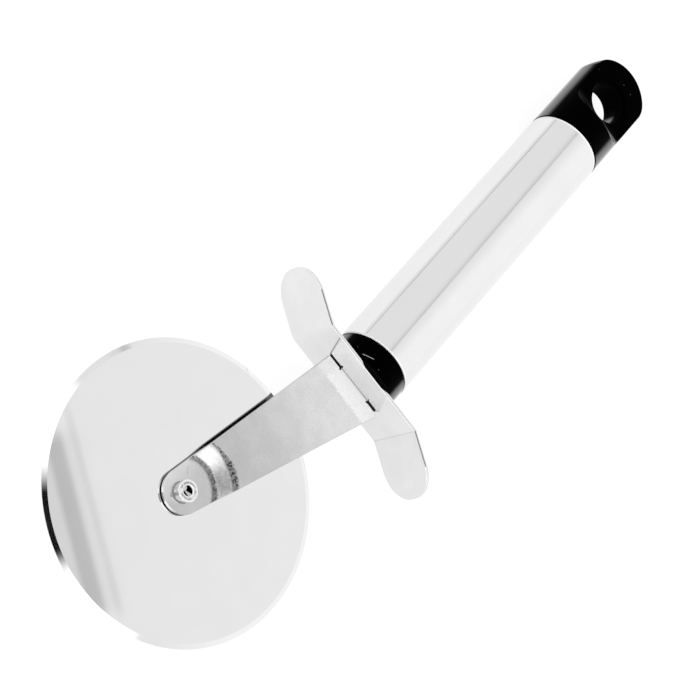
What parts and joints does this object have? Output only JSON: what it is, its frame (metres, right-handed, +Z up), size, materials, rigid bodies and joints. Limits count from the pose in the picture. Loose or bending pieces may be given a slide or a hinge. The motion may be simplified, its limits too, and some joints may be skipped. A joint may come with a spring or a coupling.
{
  "type": "pizza cutter",
  "caption": "Hand pizza cutter: a round blade that spins on a rivet at the end of a flat arm, with a bent finger guard and a tube handle that hangs by a hole in its end cap.",
  "frame": {"origin": "on the surface that the cutter lies on, under the middle of its outline", "axes": "+Y along the handle from the blade to the end cap, +Z up out of the blade's arm side, +X across"},
  "size_m": [0.0896, 0.241, 0.0225],
  "materials": {
    "blade_steel": "mirror polished stainless steel",
    "rivet_steel": "bright rolled steel",
    "washer_steel": "plain steel",
    "arm_steel": "fine matt pressed stainless steel",
    "guard_steel": "bright pressed stainless steel",
    "black_plastic": "gloss black moulding",
    "pin_steel": "plain steel",
    "tube_steel": "polished stainless steel tube"
  },
  "bodies": {
    "handle": {"axle_rivet": "rivet_steel", "front_washer": "washer_steel", "rear_washer": "washer_steel", "blade_arm": "arm_steel", "finger_guard": "guard_steel", "front_plug": "black_plastic", "tang_pin": "pin_steel", "handle_tube": "tube_steel", "end_cap": "black_plastic"},
    "disc": {"cutting_disc": "blade_steel"}
  },
  "joints": [
    {"name": "disc_spin", "type": "hinge", "parent": "handle", "child": "disc", "pos_m": [-0.00484, -0.08055, 0.0083], "axis": [0, 0, 1], "continuous": true}
  ]
}
